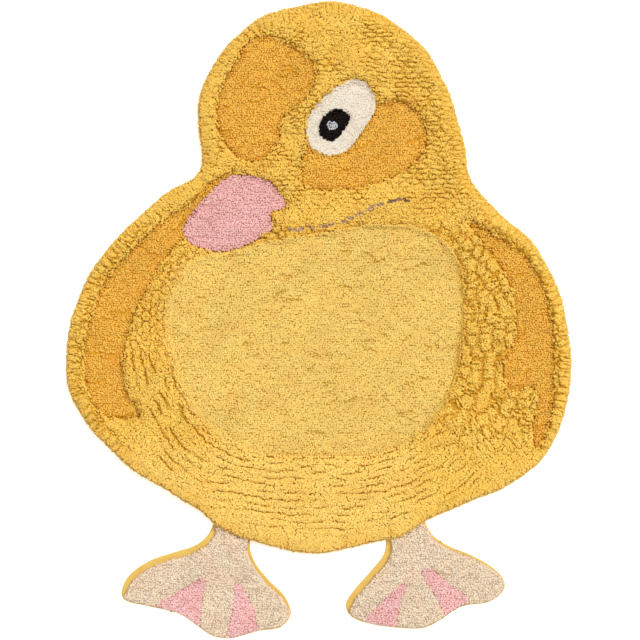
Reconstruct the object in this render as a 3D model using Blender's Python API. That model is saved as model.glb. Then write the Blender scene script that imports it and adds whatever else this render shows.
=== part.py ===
"""Animal shaped kids rug: a hand-tufted cotton duckling, flat on the floor, its head towards +Y.

The pile stands in separately tufted colour fields on one backing cloth. Each field is one closed
solid, 0.3 mm clear of its neighbours and of the cloth. Metres, +Z up, the floor at z = 0 and the
origin under the middle of the rug's outline box.
"""
import math

import bmesh
import bpy
import numpy as np
from mathutils import Vector, noise
from mathutils.geometry import delaunay_2d_cdt

MM = 0.001
NAME = "animal_shaped_kids_rug"

# Driving dimensions
CLOTH_THICK = 3.0 * MM
GAP = 0.3 * MM
HIGH_PILE = 21.0 * MM       # ring round the belly and most of the head
BELLY_PILE = 13.5 * MM      # sheared field of the belly
FIELD_PILE = 13.0 * MM      # orange fields
FACE_PILE = 12.5 * MM       # eye and beak
FOOT_PILE = 11.5 * MM
RIM_PILE = 10.5 * MM        # pile height at the rug's own edge
RIM_ROUND = 24.0 * MM       # width over which the pile leans out to the edge
SEAM_ROUND = 7.0 * MM       # width of the rounding at a carved border
SEAM_DROP = 4.0 * MM        # depth of that rounding
RIM_UNDERCUT = 5.0 * MM     # how far the leaning pile overhangs its roots
LOCK_PITCH = 14.0 * MM
LOCK_DEPTH = 2.6 * MM
LUMP_HEIGHT = 2.2 * MM
LUMP_SIZE = 34.0 * MM
CLOTH_INSET = 9.0 * MM      # cloth edge under the body's overhanging pile
CURVE_STEP = 8.0 * MM

# Outlines in millimetres, each a closed smooth curve through its points
BODY = (
    (9, 500), (64, 492), (114, 470), (166, 426), (196, 376), (215, 326), (229, 274),
    (238, 223), (277, 174), (332, 125), (364, 75), (384, 22), (393, -31), (397, -75),
    (390, -125), (376, -176), (343, -226), (292, -262), (237, -285), (174, -312),
    (135, -337), (100, -346), (49, -357), (-6, -367), (-61, -358), (-108, -346),
    (-140, -334), (-168, -318), (-186, -300), (-227, -275), (-294, -234), (-342, -189),
    (-374, -149), (-393, -107), (-397, -55), (-389, 0), (-371, 50), (-342, 100), (-296, 150),
    (-240, 199), (-194, 226), (-183, 254), (-190, 301), (-187, 351), (-166, 401),
    (-127, 448), (-80, 480),
)
LEFT_FOOT = (
    (-139, -290), (-166, -320), (-171, -334), (-190, -353), (-224, -364), (-265, -378),
    (-295, -398), (-309, -420), (-306, -440), (-268, -450), (-221, -461), (-191, -481),
    (-166, -497), (-136, -500), (-96, -489), (-60, -483), (-44, -461), (-55, -433),
    (-80, -408), (-102, -379), (-110, -353), (-105, -313),
)
RIGHT_FOOT = (
    (124, -306), (105, -335), (105, -364), (83, -393), (55, -425), (42, -448),
    (52, -467), (83, -478), (127, -484), (165, -484), (194, -470), (224, -450),
    (265, -444), (288, -429), (292, -411), (274, -390), (240, -370), (201, -354),
    (177, -337), (158, -306),
)
LEFT_WING = (
    (-132, 232), (-177, 210), (-202, 182), (-241, 158), (-288, 114), (-331, 67),
    (-354, 14), (-367, -39), (-365, -100), (-345, -144), (-312, -154), (-279, -149),
    (-299, -113), (-306, -60), (-293, 0), (-265, 56), (-230, 110), (-163, 165),
)
RIGHT_WING = (
    (234, 154), (284, 130), (322, 100), (351, 56), (365, 6), (369, -55), (367, -125),
    (360, -168), (342, -204), (335, -172), (339, -111), (298, -107), (288, -69),
    (306, -31), (306, 31), (284, 85),
)
BROW = (
    (-89, 444), (-38, 431), (-5, 392), (-20, 348), (-56, 317), (-63, 282), (-91, 251),
    (-127, 255), (-157, 298), (-157, 354), (-130, 404), (-114, 433),
)
CHEEK = (
    (25, 317), (111, 343), (155, 328), (169, 282), (149, 245), (105, 219), (41, 204),
    (-20, 208), (-28, 238), (-20, 270),
)
EYE = (
    (52, 378), (82, 364), (89, 335), (69, 298), (42, 265), (9, 260), (-16, 277),
    (-19, 310), (2, 345),
)
PUPIL = ((33, 330), (49, 319), (38, 296), (21, 280), (2, 290), (2, 311), (15, 325))
BEAK = (
    (-138, 226), (-89, 224), (-63, 201), (-52, 176), (-77, 168), (-72, 144),
    (-108, 121), (-152, 107), (-197, 118), (-213, 141), (-196, 171), (-169, 201),
)
BELLY = (
    (-202, 97), (-240, 31), (-240, -39), (-218, -110), (-177, -172), (-108, -208),
    (-5, -216), (92, -212), (166, -176), (205, -122), (224, -50), (230, 24),
    (218, 94), (174, 138), (96, 150), (2, 136), (-108, 119),
)
LEFT_WEB_OUTER = (
    (-179, -404), (-185, -447), (-193, -489), (-258, -458), (-242, -440), (-211, -421),
)
LEFT_WEB_INNER = ((-129, -411), (-102, -456), (-99, -502), (-143, -502), (-136, -455))
RIGHT_WEB_INNER = ((135, -412), (129, -440), (113, -492), (67, -483), (102, -439))
RIGHT_WEB_OUTER = (
    (160, -395), (179, -393), (208, -417), (234, -440), (205, -469), (183, -434),
)

# Cloth that shows outside the feet's pile: a width all round, and a pull to one side
CLOTH_SHOWS = 2.0 * MM
LEFT_PULL = (0.0, 6.0 * MM)
RIGHT_PULL = (-3.8 * MM, 4.5 * MM)

COLOURS = {
    "cloth": (0.87, 0.55, 0.10),
    "yellow": (0.83, 0.53, 0.12),
    "orange": (0.79, 0.39, 0.06),
    "white": (0.84, 0.75, 0.60),
    "black": (0.012, 0.008, 0.007),
    "pink": (0.80, 0.40, 0.41),
    "beige": (0.80, 0.64, 0.45),
}


def smooth_loop(points, step):
    """Points about one step apart on a smooth closed curve through the table's points."""
    table = np.array(points, float) * MM
    count = len(table)
    out = []
    for i in range(count):
        a, b, c, d = (table[(i + k) % count] for k in (-1, 0, 1, 2))
        pieces = max(1, round(float(np.linalg.norm(c - b)) / step))
        for j in range(pieces):
            t = j / pieces
            out.append(0.5 * (
                2 * b + (c - a) * t
                + (2 * a - 5 * b + 4 * c - d) * t * t
                + (3 * b - a - 3 * c + d) * t ** 3
            ))
    return np.array(out)


def area(loop):
    """Signed area of a closed loop, positive when it runs anticlockwise."""
    x, y = loop[:, 0], loop[:, 1]
    return 0.5 * float(np.sum(x * np.roll(y, -1) - y * np.roll(x, -1)))


def anticlockwise(loop):
    """The same loop, run anticlockwise."""
    return loop if area(loop) > 0 else loop[::-1]


def normals(loop):
    """Unit normals at a loop's points, to the right of its direction, with mitre lengths."""
    ahead = np.roll(loop, -1, axis=0) - loop
    ahead /= np.linalg.norm(ahead, axis=1)[:, None]
    behind = np.roll(ahead, 1, axis=0)
    mean = ahead + behind
    mean /= np.maximum(np.linalg.norm(mean, axis=1), 1e-9)[:, None]
    mitre = 1.0 / np.clip(np.sum(mean * ahead, axis=1), 0.5, 1.0)
    return np.stack([mean[:, 1], -mean[:, 0]], axis=1), mitre


def moved_out(loop, distance):
    """The loop with each point moved to its right by a distance."""
    normal, mitre = normals(loop)
    return loop + normal * (mitre * distance)[:, None]


def undercut_ring(loop, distance):
    """The ring of the pile's roots, further in than its tips and without their locks."""
    for _ in range(4):
        loop = 0.5 * loop + 0.25 * (np.roll(loop, 1, axis=0) + np.roll(loop, -1, axis=0))
    normal, _ = normals(loop)
    return loop - normal * distance


def with_locks(loop):
    """The loop cut into rounded locks of pile, three points a lock."""
    ends = np.roll(loop, -1, axis=0)
    lengths = np.linalg.norm(ends - loop, axis=1)
    run = np.concatenate([[0.0], np.cumsum(lengths)])
    total = run[-1]
    locks = round(total / LOCK_PITCH)
    widths = 1.0 + 0.28 * np.sin(12.9 * np.arange(locks) + 3.0 * np.sin(0.7 * np.arange(locks)))
    starts = np.concatenate([[0.0], np.cumsum(widths)]) / widths.sum() * total
    places, offsets = [], []
    for i in range(locks):
        width = starts[i + 1] - starts[i]
        puff = 0.35 * math.sin(5.3 * i + 0.6)
        for part, offset in ((0.0, -0.55), (0.30, 0.35 + puff), (0.70, 0.40 + puff)):
            places.append(starts[i] + part * width)
            offsets.append(offset * LOCK_DEPTH)
    closed = np.vstack([loop, loop[:1]])
    x = np.interp(places, run, closed[:, 0])
    y = np.interp(places, run, closed[:, 1])
    base = np.stack([x, y], axis=1)
    normal, _ = normals(base)
    return base + normal * np.array(offsets)[:, None]


def inside(points, loops):
    """Which points lie inside the loops, where a loop in a loop is a hole."""
    x, y = points[:, 0][:, None], points[:, 1][:, None]
    result = np.zeros(len(points), bool)
    for loop in loops:
        ax, ay = loop[:, 0][None, :], loop[:, 1][None, :]
        bx, by = np.roll(loop[:, 0], -1)[None, :], np.roll(loop[:, 1], -1)[None, :]
        spans = (ay > y) != (by > y)
        rise = np.where(by == ay, 1.0, by - ay)
        crosses = spans & (x < (bx - ax) * (y - ay) / rise + ax)
        result ^= (np.sum(crosses, axis=1) % 2).astype(bool)
    return result


def distance(points, loops):
    """Distance from each point to the nearest of the loops' edges."""
    best = np.full(len(points), 9.0)
    for loop in loops:
        ends = np.roll(loop, -1, axis=0)
        for a, b in zip(loop, ends):
            edge = b - a
            t = np.clip((points - a) @ edge / max(float(edge @ edge), 1e-12), 0.0, 1.0)
            gap = np.linalg.norm(points - a - t[:, None] * edge, axis=1)
            best = np.minimum(best, gap)
    return best


def triangulate(loops, extra):
    """Triangles of the area inside the loops, through the extra points too."""
    points = np.vstack(list(loops) + ([extra] if len(extra) else []))
    edges, start = [], 0
    for loop in loops:
        count = len(loop)
        edges += [(start + i, start + (i + 1) % count) for i in range(count)]
        start += count
    found = delaunay_2d_cdt([Vector(p) for p in points], edges, [], 0, 1e-7)
    where = np.array([tuple(p) for p in found[0]])
    if len(where) != len(points):
        raise ValueError("two points of an outline fall together")
    order = [sources[0] for sources in found[3]]
    faces = np.array([[order[i] for i in face] for face in found[2]])
    centres = points[faces].mean(axis=1)
    return faces[inside(centres, loops)]


def label_map(outlines, rule):
    """Cut all outlines into triangles and give each the label that the rule finds."""
    points = np.vstack(outlines)
    edges, start = [], 0
    for loop in outlines:
        count = len(loop)
        edges += [(start + i, start + (i + 1) % count) for i in range(count)]
        start += count
    found = delaunay_2d_cdt([Vector(p) for p in points], edges, [], 0, 1e-6)
    where = np.array([tuple(p) for p in found[0]])
    faces = np.array([list(face) for face in found[2]])
    return where, faces, rule(where[faces].mean(axis=1))


def welded(where, faces):
    """One point for each group of points that lie within a millimetre of each other."""
    same = np.arange(len(where))
    used = sorted(set(faces.ravel().tolist()))
    for k, i in enumerate(used):
        if same[i] != i:
            continue
        rest = np.array([j for j in used[k + 1:] if same[j] == j], int)
        if len(rest):
            near = np.linalg.norm(where[rest] - where[i], axis=1) < 1.0 * MM
            same[rest[near]] = i
    return same[faces]


def field_loops(where, faces, labels, label):
    """Outer loop first, then the holes, of the triangles with one label."""
    directed = set()
    for a, b, c in faces[labels == label].tolist():
        if len({a, b, c}) == 3:
            directed.update(((a, b), (b, c), (c, a)))
    border = sorted(e for e in directed if (e[1], e[0]) not in directed)
    after = {}
    for a, b in border:
        after.setdefault(a, []).append(b)
    loops = []
    while after:
        start = next(iter(after))
        loop, here = [], start
        while here in after:
            loop.append(here)
            choices = after[here]
            there = choices.pop()
            if not choices:
                del after[here]
            here = there
        if len(loop) > 4:
            loops.append(where[loop])
    loops = [loop for loop in loops if abs(area(loop)) > 1e-4]
    return sorted(loops, key=area, reverse=True)


def fill_points(loops, spacing, rings):
    """Points inside the loops: rings along the borders and an even triangular grid."""
    low = loops[0].min(axis=0)
    high = loops[0].max(axis=0)
    rows = int((high[1] - low[1]) / (spacing * 0.866)) + 2
    columns = int((high[0] - low[0]) / spacing) + 2
    grid = []
    for r in range(rows):
        for c in range(columns):
            shift = 0.5 * (r % 2) + 0.12 * math.sin(7.1 * r + 3.7 * c)
            grid.append((low[0] + (c + shift) * spacing, low[1] + r * spacing * 0.866))
    ring_points = []
    for offset, stride in rings:
        for loop in loops:
            ring_points.append(moved_out(loop, -offset)[::stride])
    kept = np.zeros((0, 2))
    for candidate, offset in zip(ring_points, [o for o, _ in rings for _ in loops]):
        good = inside(candidate, loops) & (distance(candidate, loops) > 0.8 * offset)
        candidate = candidate[good]
        for point in candidate:
            if not len(kept) or np.min(np.linalg.norm(kept - point, axis=1)) > 0.55 * offset + 1.5 * MM:
                kept = np.vstack([kept, point])
    deepest = max([o for o, _ in rings], default=0.0)
    grid = np.array(grid)
    grid = grid[inside(grid, loops)]
    grid = grid[distance(grid, loops) > deepest + 0.45 * spacing]
    return np.vstack([kept, grid])


def slab(loops, top, bottom, undercut, extra):
    """Vertices and faces of a closed slab whose top follows a height function."""
    rim = np.vstack(loops)
    foot = [undercut_ring(loops[0], undercut)] if undercut else [loops[0]]
    foot += loops[1:]
    top_points = np.vstack([rim, extra]) if len(extra) else rim
    heights = top(top_points)
    faces = triangulate(loops, extra)
    under = triangulate(foot, np.zeros((0, 2)))
    shift = len(top_points)
    base = np.vstack(foot)
    vertices = [(p[0], p[1], h) for p, h in zip(top_points, heights)]
    vertices += [(p[0], p[1], bottom) for p in base]
    polygons = [tuple(f) for f in faces.tolist()]
    polygons += [(a + shift, c + shift, b + shift) for a, b, c in under.tolist()]
    start = 0
    for loop in loops:
        count = len(loop)
        for i in range(count):
            a, b = start + i, start + (i + 1) % count
            polygons.append((b, a, a + shift))
            polygons.append((b, a + shift, b + shift))
        start += count
    return vertices, polygons


def make_object(name, vertices, polygons, colour, collection):
    """A mesh object with its own material."""
    mesh = bpy.data.meshes.new(name)
    mesh.from_pydata(vertices, [], polygons)
    body = bmesh.new()
    body.from_mesh(mesh)
    bmesh.ops.triangulate(body, faces=body.faces)
    bmesh.ops.recalc_face_normals(body, faces=body.faces)
    if body.calc_volume(signed=True) < 0:
        bmesh.ops.reverse_faces(body, faces=body.faces)
    body.to_mesh(mesh)
    body.free()
    material = bpy.data.materials.new(name)
    material.use_nodes = True
    shader = material.node_tree.nodes["Principled BSDF"]
    shader.inputs["Base Color"].default_value = (*COLOURS[colour], 1.0)
    shader.inputs["Roughness"].default_value = 0.95
    mesh.materials.append(material)
    thing = bpy.data.objects.new(name, mesh)
    collection.objects.link(thing)
    return thing


def lumps(points, size, height):
    """Soft uneven lumps of a pile's top."""
    values = [noise.noise(Vector((p[0] / size, p[1] / size, 4.3))) for p in points]
    return height * np.array(values)


def ease(x):
    """Smooth step from 0 to 1."""
    x = np.clip(x, 0.0, 1.0)
    return x * x * (3.0 - 2.0 * x)


def rounded(gap, width):
    """Quarter round from 0 at a border to 1 at a width inside it."""
    t = 1.0 - np.clip(gap / width, 0.0, 1.0)
    return np.sqrt(np.maximum(0.0, 1.0 - t * t))


def ground_top(loops, belly):
    """Height function of the yellow ground: high ring and head, low belly, leaning rim."""
    def top(points):
        depth = distance(points, [belly])
        depth = np.where(inside(points, [belly]), depth, -depth)
        left = ease((-points[:, 0] - 0.06) / 0.10)
        width = 9 * MM + 34 * MM * left
        sheared = ease(0.5 + depth / width)
        level = HIGH_PILE + (BELLY_PILE - HIGH_PILE) * sheared
        level = level + lumps(points, LUMP_SIZE, LUMP_HEIGHT) * (1.0 - 0.7 * sheared)
        level = level + lumps(points, 0.45 * LUMP_SIZE, 1.3 * MM) * (1.0 - 0.6 * sheared)
        rim = rounded(distance(points, loops[:1]), RIM_ROUND)
        level = RIM_PILE + (level - RIM_PILE) * rim
        if len(loops) > 1:
            seam = rounded(distance(points, loops[1:]), SEAM_ROUND)
            level = level - 1.4 * SEAM_DROP * (1.0 - seam)
        return level
    return top


def field_top(loops, height, drop):
    """Height function of a low sheared field with a rounded carved border."""
    def top(points):
        seam = rounded(distance(points, loops), SEAM_ROUND)
        return height + lumps(points, LUMP_SIZE, 0.5 * MM) - drop * (1.0 - seam)
    return top


def cloth_top(loops):
    """Height function of the backing cloth: flat, with a turned rounded edge."""
    def top(points):
        edge = rounded(distance(points, loops), 1.2 * MM)
        return CLOTH_THICK - 0.8 * MM * (1.0 - edge)
    return top


def foot_pile_outline(cloth, pull):
    """A foot's pile outline, a little inside its cloth and further in on one side."""
    loop = anticlockwise(cloth)
    normal, _ = normals(loop)
    margin = CLOTH_SHOWS + np.maximum(0.0, normal @ np.array(pull))
    return loop - normal * margin[:, None]


def pile_fields():
    """The loops of each pile field, by name."""
    curve = {
        "pupil": PUPIL, "eye": EYE, "cheek": CHEEK, "beak": BEAK, "left_wing": LEFT_WING,
        "right_wing": RIGHT_WING, "brow": BROW, "web_a": LEFT_WEB_OUTER,
        "web_b": LEFT_WEB_INNER, "web_c": RIGHT_WEB_INNER, "web_d": RIGHT_WEB_OUTER,
    }
    drawn = {key: anticlockwise(smooth_loop(table, CURVE_STEP)) for key, table in curve.items()}
    drawn["body"] = with_locks(anticlockwise(smooth_loop(BODY, 4 * MM)))
    left = smooth_loop(LEFT_FOOT, 6 * MM)
    right = smooth_loop(RIGHT_FOOT, 6 * MM)
    drawn["left_foot"] = foot_pile_outline(left, LEFT_PULL)
    drawn["right_foot"] = foot_pile_outline(right, RIGHT_PULL)
    first = ("pupil", "eye", "cheek", "beak", "left_wing", "right_wing", "brow", "body")

    def rule(centres):
        hit = {key: inside(centres, [loop]) for key, loop in drawn.items()}
        label = np.full(len(centres), "", dtype="U12")
        for key in ("left_foot", "right_foot"):
            label[hit[key]] = key
        for web, foot in (("web_a", "left_foot"), ("web_b", "left_foot"),
                          ("web_c", "right_foot"), ("web_d", "right_foot")):
            label[hit[web] & hit[foot]] = web
        for key in reversed(first):
            label[hit[key]] = key
        return label

    where, faces, labels = label_map(list(drawn.values()), rule)
    faces = welded(where, faces)
    fields = {}
    for key in drawn:
        loops = field_loops(where, faces, labels, key)
        fields[key] = [moved_out(loop, -0.5 * GAP) for loop in loops]
    return fields


def cloth_loops():
    """The outline of the backing cloth: under the body's rim and out round the feet."""
    body = moved_out(anticlockwise(smooth_loop(BODY, CURVE_STEP)), -CLOTH_INSET)
    feet = [anticlockwise(smooth_loop(t, CURVE_STEP)) for t in (LEFT_FOOT, RIGHT_FOOT)]

    def rule(centres):
        label = np.full(len(centres), "", dtype="U12")
        for loop in [body] + feet:
            label[inside(centres, [loop])] = "cloth"
        return label

    where, faces, labels = label_map([body] + feet, rule)
    return field_loops(where, welded(where, faces), labels, "cloth")


def remove_all():
    """Clear the scene."""
    for thing in list(bpy.data.objects):
        bpy.data.objects.remove(thing)


def build():
    """Build every piece of the rug."""
    remove_all()
    collection = bpy.data.collections.new(NAME)
    bpy.context.scene.collection.children.link(collection)

    loops = cloth_loops()
    extra = fill_points(loops, 80 * MM, [(1.2 * MM, 2)])
    vertices, polygons = slab(loops, cloth_top(loops), 0.0, 0.5 * MM, extra)
    make_object("backing_cloth", vertices, polygons, "cloth", collection)

    fields = pile_fields()
    bottom = CLOTH_THICK + GAP
    belly = anticlockwise(smooth_loop(BELLY, CURVE_STEP))
    loops = fields["body"]
    extra = fill_points(loops, 14 * MM, [(3.5 * MM, 2), (9 * MM, 3)])
    vertices, polygons = slab(loops, ground_top(loops, belly), bottom, RIM_UNDERCUT, extra)
    make_object("ground_pile", vertices, polygons, "yellow", collection)

    low = (
        ("left_wing_pile", "left_wing", "orange", FIELD_PILE),
        ("right_wing_pile", "right_wing", "orange", FIELD_PILE),
        ("brow_pile", "brow", "orange", FIELD_PILE),
        ("cheek_pile", "cheek", "orange", FIELD_PILE),
        ("eye_white_pile", "eye", "white", FACE_PILE),
        ("pupil_pile", "pupil", "black", FACE_PILE),
        ("beak_pile", "beak", "pink", FACE_PILE),
        ("left_foot_pile", "left_foot", "beige", FOOT_PILE),
        ("right_foot_pile", "right_foot", "beige", FOOT_PILE),
        ("left_web_outer_pile", "web_a", "pink", FOOT_PILE),
        ("left_web_inner_pile", "web_b", "pink", FOOT_PILE),
        ("right_web_inner_pile", "web_c", "pink", FOOT_PILE),
        ("right_web_outer_pile", "web_d", "pink", FOOT_PILE),
    )
    for name, key, colour, height in low:
        loops = fields[key]
        drop = 1.6 * MM if colour in ("white", "black") else 2.4 * MM
        extra = fill_points(loops, 18 * MM, [(4 * MM, 2)])
        vertices, polygons = slab(loops, field_top(loops, height, drop), bottom, 0.0, extra)
        make_object(name, vertices, polygons, colour, collection)


build()
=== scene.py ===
"""Looks of the animal shaped kids rug: cotton tufts in colour fields on a hemmed backing cloth.

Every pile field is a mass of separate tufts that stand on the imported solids: their tips follow the
solids' tops, lean together in clumps and rows, and lie outwards in locks round the rug's edge.
"""
import math

import bpy
import numpy as np
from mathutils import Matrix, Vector, kdtree, noise
from mathutils.bvhtree import BVHTree
from mathutils.geometry import delaunay_2d_cdt


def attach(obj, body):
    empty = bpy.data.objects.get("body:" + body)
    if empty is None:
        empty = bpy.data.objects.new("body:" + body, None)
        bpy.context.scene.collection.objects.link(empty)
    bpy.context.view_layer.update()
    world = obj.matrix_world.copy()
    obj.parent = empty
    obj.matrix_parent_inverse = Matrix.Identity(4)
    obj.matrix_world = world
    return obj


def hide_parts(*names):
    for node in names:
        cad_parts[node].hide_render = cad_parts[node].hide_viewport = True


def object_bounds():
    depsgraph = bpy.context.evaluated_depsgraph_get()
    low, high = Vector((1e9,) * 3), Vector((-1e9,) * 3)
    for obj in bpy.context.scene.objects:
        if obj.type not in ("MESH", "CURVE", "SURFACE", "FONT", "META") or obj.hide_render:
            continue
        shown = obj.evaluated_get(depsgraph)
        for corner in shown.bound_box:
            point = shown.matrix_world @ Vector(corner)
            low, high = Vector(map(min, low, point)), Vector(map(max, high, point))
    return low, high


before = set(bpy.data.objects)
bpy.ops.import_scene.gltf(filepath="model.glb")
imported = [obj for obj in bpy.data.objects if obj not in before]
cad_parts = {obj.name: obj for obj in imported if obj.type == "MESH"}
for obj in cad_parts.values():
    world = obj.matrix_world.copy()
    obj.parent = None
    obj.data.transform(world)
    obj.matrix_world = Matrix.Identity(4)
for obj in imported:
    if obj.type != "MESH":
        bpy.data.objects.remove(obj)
CAD_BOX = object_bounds()

MM = 0.001
RNG = np.random.default_rng(11)

PITCH = 2.9 * MM                    # distance between the tufts of the high pile
LOW_PITCH = (2.3 * MM, 3.25 * MM)   # the same across and along the sheared pile
TUFT_LENGTH = 8.0 * MM              # how much of a tuft of the high pile is modelled
ROOT_LEVEL = 3.2 * MM               # just over the cloth: no tuft's middle starts lower
SIDES = 4                           # of a tuft
# The rings of a tuft: place as a part of its length from the tip, and width
RINGS = ((1.0, 0.72), (0.10, 1.0))
PAINTED_SHADE_STEPS = (0.0, 0.66, 1.0)            # painted shade of the rings and the tip: the mix from 0, the painted shade colour deep in the pile, to 1, the tip's colour
LOW_WIDE = 0.82                     # how much wider than long a sheared tuft is

STEP = (9.0 * MM, 34.0 * MM)        # width of the step at the belly's line, and what the left adds
HEAD_BORDER = 0.165                 # where the ring's pieces end and the head's begins
BELLY_SPLIT = -0.04                 # where the two pieces of the belly meet
ROW_PITCH = 11.0 * MM               # rows that follow the belly's line
LOCK_PITCH = 12.0 * MM              # partings that run out to the rug's edge
REACH = 4.2 * MM                    # how far from a parting its pile leans away
PARTED = 1.8 * MM                   # how far the tips beside a parting move
PARTING_DEPTH = 4.4                 # in millimetres
DEEPEST = 4.0                       # partings and gaps sink no tip further, in millimetres
CLUMP = (10.5 * MM, 5.0 * MM)       # size of the clumps in which neighbouring tufts gather
CREASE_DEPTH = 3.0 * MM             # short partings of the sheared fields
CREASE_WIDTH = 2.4 * MM
CREASE_HALF = (5.0, 17.0)           # shortest and longest half length, in millimetres
BORDER_RISE = 2.2 * MM              # how far a sheared field rises to its border

RIM_BAND = 30.0 * MM                # band in which the tufts begin to lie outwards
RIM_PITCH = 2.7 * MM
# Rows of strands round the rug's edge: height and distance inside the edge, both in millimetres,
# and how far the strands point up
RIM_ROWS = ((10.4, 0.9, 0.6), (8.7, -0.6, 0.25), (6.5, 0.4, 0.0), (4.5, 2.2, -0.05))

# Uneven cells of the high pile: width, height and mean size in millimetres, unevenness, and seed
CELLS = {
    "beads": (13, 11, 11, (0.5, 0.3), 61),
    "locks": (13, 20, 15, (0.35, 0.45), 67),
    "lumps": (17, 7.5, 10, (0.5, 0.45), 71),
    "slats": (21, 7.6, 10, (0.5, 0.4), 73),
}

# Cloth that shows round the feet, and what their upper left adds, in millimetres
HEM_SHOWS = (3.0, 8.0)
# The hem's section from the underside up, in millimetres: distance inside the edge, and height
HEM = ((1.6, 0.0), (0.5, 0.25), (0.0, 0.9), (0.0, 1.9), (0.4, 2.65), (1.6, 3.0))
ROOT_STRIP = 0.1                    # part of the map that is kept for the root mass

# Low sheared field of the belly, in millimetres, as in the part
BELLY = (
    (-202, 97), (-240, 31), (-240, -39), (-218, -110), (-177, -172), (-108, -208),
    (-5, -216), (92, -212), (166, -176), (205, -122), (224, -50), (230, 24),
    (218, 94), (174, 138), (96, 150), (2, 136), (-108, 119),
)
MOUTH = (
    (-47, 141), (-14, 144), (11, 147), (38, 155), (61, 165), (88, 177), (107, 184),
    (127, 188), (143, 185),
)
# Centre and radius of the pale dot in the pupil, in millimetres
GLINT = (20.5, 304.0, 8.2)

# Patches of the belly painted lighter or darker, as painted light and shade of pile brushed different
# ways:
# x, y and radius in millimetres, and how much
PAINTED_NAP_PATCHES = (
    ((-186, 58, 48), 0.07), ((-50, 66, 34), 0.04), ((-135, -58, 40), 0.04),
    ((106, -42, 36), 0.04), ((169, -83, 40), 0.05), ((33, -125, 36), -0.03),
    ((2, -20, 30), -0.03), ((60, 60, 40), -0.02),
)

# Longer creases across the left wing: x and y in millimetres, angle, and half length in millimetres
FOLDS = (
    (-338, -53, -0.08, 27), (-330, -60, 0.05, 15), (-273, 110, -0.45, 25),
    (-352, -98, 0.15, 20), (-312, 12, 0.1, 18),
)

# Linear colours of the yarns: at the tip, and a darker, more golden painted shade colour that stands in
# for the shade deep in the pile
YARN_AND_PAINTED_SHADE = {
    "yellow": ((0.955, 0.675, 0.205), (0.60, 0.315, 0.0)),
    "orange": ((0.98, 0.605, 0.116), (0.60, 0.255, 0.0)),
    "off_white": ((0.82, 0.74, 0.625), (0.77, 0.67, 0.53)),
    "black": ((0.016, 0.011, 0.009), (0.004, 0.003, 0.003)),
    "pink": ((0.91, 0.56, 0.54), (0.66, 0.31, 0.28)),
    "beige": ((0.89, 0.74, 0.57), (0.68, 0.53, 0.39)),
}
LILAC = (0.62, 0.42, 0.33)          # the mouth's tufts
GLINT_COLOUR = (0.66, 0.68, 0.70)
SHEEN = 0.12
MOTTLE = 0.17                       # how far the fibres' colour strays from the yarn's

# Roughness of a field's cut, where it isn't 1
ROUGH = {"off_white": 0.1, "beige": 0.75, "pink": 0.75}
BELLY_ROUGH = 0.42
# Colour factors of fields: the webs' yarn is a little lighter and cooler than its slot's, and the wings
# are painted a little darker as painted shade
TINTS = {"wing": (0.99, 0.99, 0.99), "web": (1.05, 1.10, 1.13)}
# Share and colour factors of the feet's darker tufts
FLECKS = (0.07, (0.74, 0.72, 0.70))
# Angle, number and seed of the creases of a field
CREASES = {
    "left_wing_pile": (0.0, 26, 1),
    "right_wing_pile": (0.5, 18, 2),
    "brow_pile": (0.2, 18, 3),
    "cheek_pile": (0.5, 9, 4),
    "belly": (0.0, 60, 5),
    "left_foot_pile": (0.1, 16, 6),
    "right_foot_pile": (0.1, 14, 7),
    "beak_pile": (0.3, 7, 8),
}
FEW_CREASES = (0.0, 2, 9)

FLOOR_SIZE = 30.0
FLOOR_COLOUR = (0.93, 0.93, 0.93, 1)
FLOOR_GLOW = 0.42
WORLD = ((1, 0.955, 0.88, 1), 0.46)
# Strength, width in degrees and direction of each light
LIGHTS = {
    "key": (2.42, 28, (-0.50, -0.56, -0.81)),
    "fill": (0.85, 70, (0.60, 0.52, -0.60)),
}
CAMERA_PLACE = (0.0016, 0.0, 2.798)
FIELDS = {
    "ground_pile": "yellow",
    "left_wing_pile": "orange",
    "right_wing_pile": "orange",
    "brow_pile": "orange",
    "cheek_pile": "orange",
    "eye_white_pile": "off_white",
    "pupil_pile": "black",
    "beak_pile": "pink",
    "left_foot_pile": "beige",
    "right_foot_pile": "beige",
    "left_web_outer_pile": "pink",
    "left_web_inner_pile": "pink",
    "right_web_inner_pile": "pink",
    "right_web_outer_pile": "pink",
}


# ---------------------------------------------------------------- helpers

def ease(x):
    """Smooth step from 0 to 1."""
    x = np.clip(x, 0.0, 1.0)
    return x * x * (3.0 - 2.0 * x)


def past(x, start, width):
    """From 0 where x is below start to 1 where it is a width past it."""
    return ease((x - start) / width)


def smooth_loop(points, step, closed=True):
    """Points about a step apart on a smooth curve through the table's points."""
    table = np.array(points, float) * MM
    count = len(table)
    out = []
    for i in range(count if closed else count - 1):
        if closed:
            a, b, c, d = (table[(i + k) % count] for k in (-1, 0, 1, 2))
        else:
            a, b, c, d = (table[min(max(i + k, 0), count - 1)] for k in (-1, 0, 1, 2))
        pieces = max(1, round(float(np.linalg.norm(c - b)) / step))
        for j in range(pieces):
            t = j / pieces
            out.append(0.5 * (
                2 * b + (c - a) * t
                + (2 * a - 5 * b + 4 * c - d) * t * t
                + (3 * b - a - 3 * c + d) * t ** 3
            ))
    return np.array(out)


def signed_area(loop):
    """Area of a closed loop, positive when it runs anticlockwise."""
    x, y = loop[:, 0], loop[:, 1]
    return 0.5 * float(np.sum(x * np.roll(y, -1) - y * np.roll(x, -1)))


def unit(vectors):
    """Vectors at length one."""
    return vectors / np.linalg.norm(vectors, axis=1)[:, None]


def even(loop, step):
    """A closed loop resampled to even steps."""
    closed = np.vstack([loop, loop[:1]])
    run = np.concatenate([[0.0], np.cumsum(np.linalg.norm(np.diff(closed, axis=0), axis=1))])
    count = max(8, round(run[-1] / step))
    at = np.arange(count) / count * run[-1]
    return np.stack([np.interp(at, run, closed[:, k]) for k in (0, 1)], axis=1)


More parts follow.
